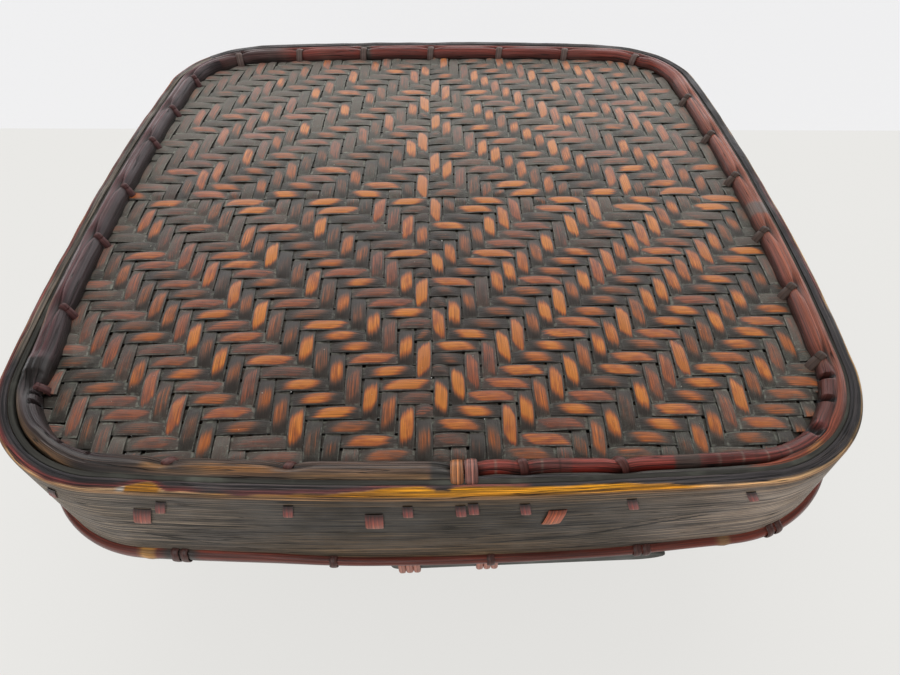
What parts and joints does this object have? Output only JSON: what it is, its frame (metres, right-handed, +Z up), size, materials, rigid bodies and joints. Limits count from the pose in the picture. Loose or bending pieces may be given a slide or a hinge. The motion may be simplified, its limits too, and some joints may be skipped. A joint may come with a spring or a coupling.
{
  "type": "lidded rice basket",
  "caption": "Square rice basket with round corners: a tapered woven bamboo body on a hooped foot, and a deep lift-off lid with a twill-woven panel in a beaded rim.",
  "frame": {"origin": "on the surface that the basket stands on, under the middle of its box", "axes": "+Z up, the height being the shortest side of the box; the front, with the splice board under the lid, faces -Y"},
  "size_m": [0.3044, 0.3057, 0.1558],
  "materials": {
    "dark_bamboo": "satin, aged dark lacquer worn to fine grain",
    "red_bamboo": "semi-gloss maroon lacquer",
    "dusty_filler": "matt, dusty",
    "woven_bamboo": "satin, worn orange on the crowns and dark between",
    "rattan": "satin",
    "plain_bamboo": "matt",
    "black_bamboo": "satin"
  },
  "bodies": {
    "body": {"body_collar": "dark_bamboo", "body_floor": "woven_bamboo", "body_neck_hoop": "plain_bamboo", "body_seat_hoop": "red_bamboo", "body_splice_board": "black_bamboo", "body_wall": "woven_bamboo", "floor_batten_back": "plain_bamboo", "floor_batten_front": "plain_bamboo", "floor_hoop": "plain_bamboo", "foot_hoop": "dark_bamboo", "splice_lashing_left": "rattan", "splice_lashing_right": "rattan"},
    "lid": {"lid_band": "dark_bamboo", "lid_brace_left": "plain_bamboo", "lid_brace_middle": "plain_bamboo", "lid_brace_right": "plain_bamboo", "lid_filler": "dusty_filler", "lid_hoop": "plain_bamboo", "lid_inner_bead": "red_bamboo", "lid_moulding": "red_bamboo", "lid_outer_bead": "red_bamboo", "lid_panel": "woven_bamboo", "lid_staple_back_left": "rattan", "lid_staple_back_middle": "rattan", "lid_staple_back_right": "rattan", "lid_staple_front_left": "rattan", "lid_staple_front_middle": "rattan", "lid_staple_front_right": "rattan", "lid_tie_back_1": "rattan", "lid_tie_back_2": "rattan", "lid_tie_back_3": "rattan", "lid_tie_back_4": "rattan", "lid_tie_back_5": "rattan", "lid_tie_back_6": "rattan", "lid_tie_back_7": "rattan", "lid_tie_front_1": "rattan", "lid_tie_front_2": "rattan", "lid_tie_front_3": "rattan", "lid_tie_front_4": "rattan", "lid_tie_front_5": "rattan", "lid_tie_front_6": "rattan", "lid_tie_left_1": "rattan", "lid_tie_left_2": "rattan", "lid_tie_left_3": "rattan", "lid_tie_left_4": "rattan", "lid_tie_left_5": "rattan", "lid_tie_left_6": "rattan", "lid_tie_right_1": "rattan", "lid_tie_right_2": "rattan", "lid_tie_right_3": "rattan", "lid_tie_right_4": "rattan", "lid_tie_right_5": "rattan", "lid_tie_right_6": "rattan", "moulding_wrap_back_pair_left": "rattan", "moulding_wrap_back_pair_right": "rattan", "moulding_wrap_front_pair_corner": "rattan", "moulding_wrap_front_pair_left": "rattan", "moulding_wrap_front_pair_right": "rattan", "moulding_wrap_front_single_left": "rattan", "moulding_wrap_front_single_right": "rattan"}
  },
  "joints": [
    {"name": "lid_lift", "type": "slide", "parent": "body", "child": "lid", "axis": [0, 0, 1], "range_m": [0, 0.15]}
  ]
}
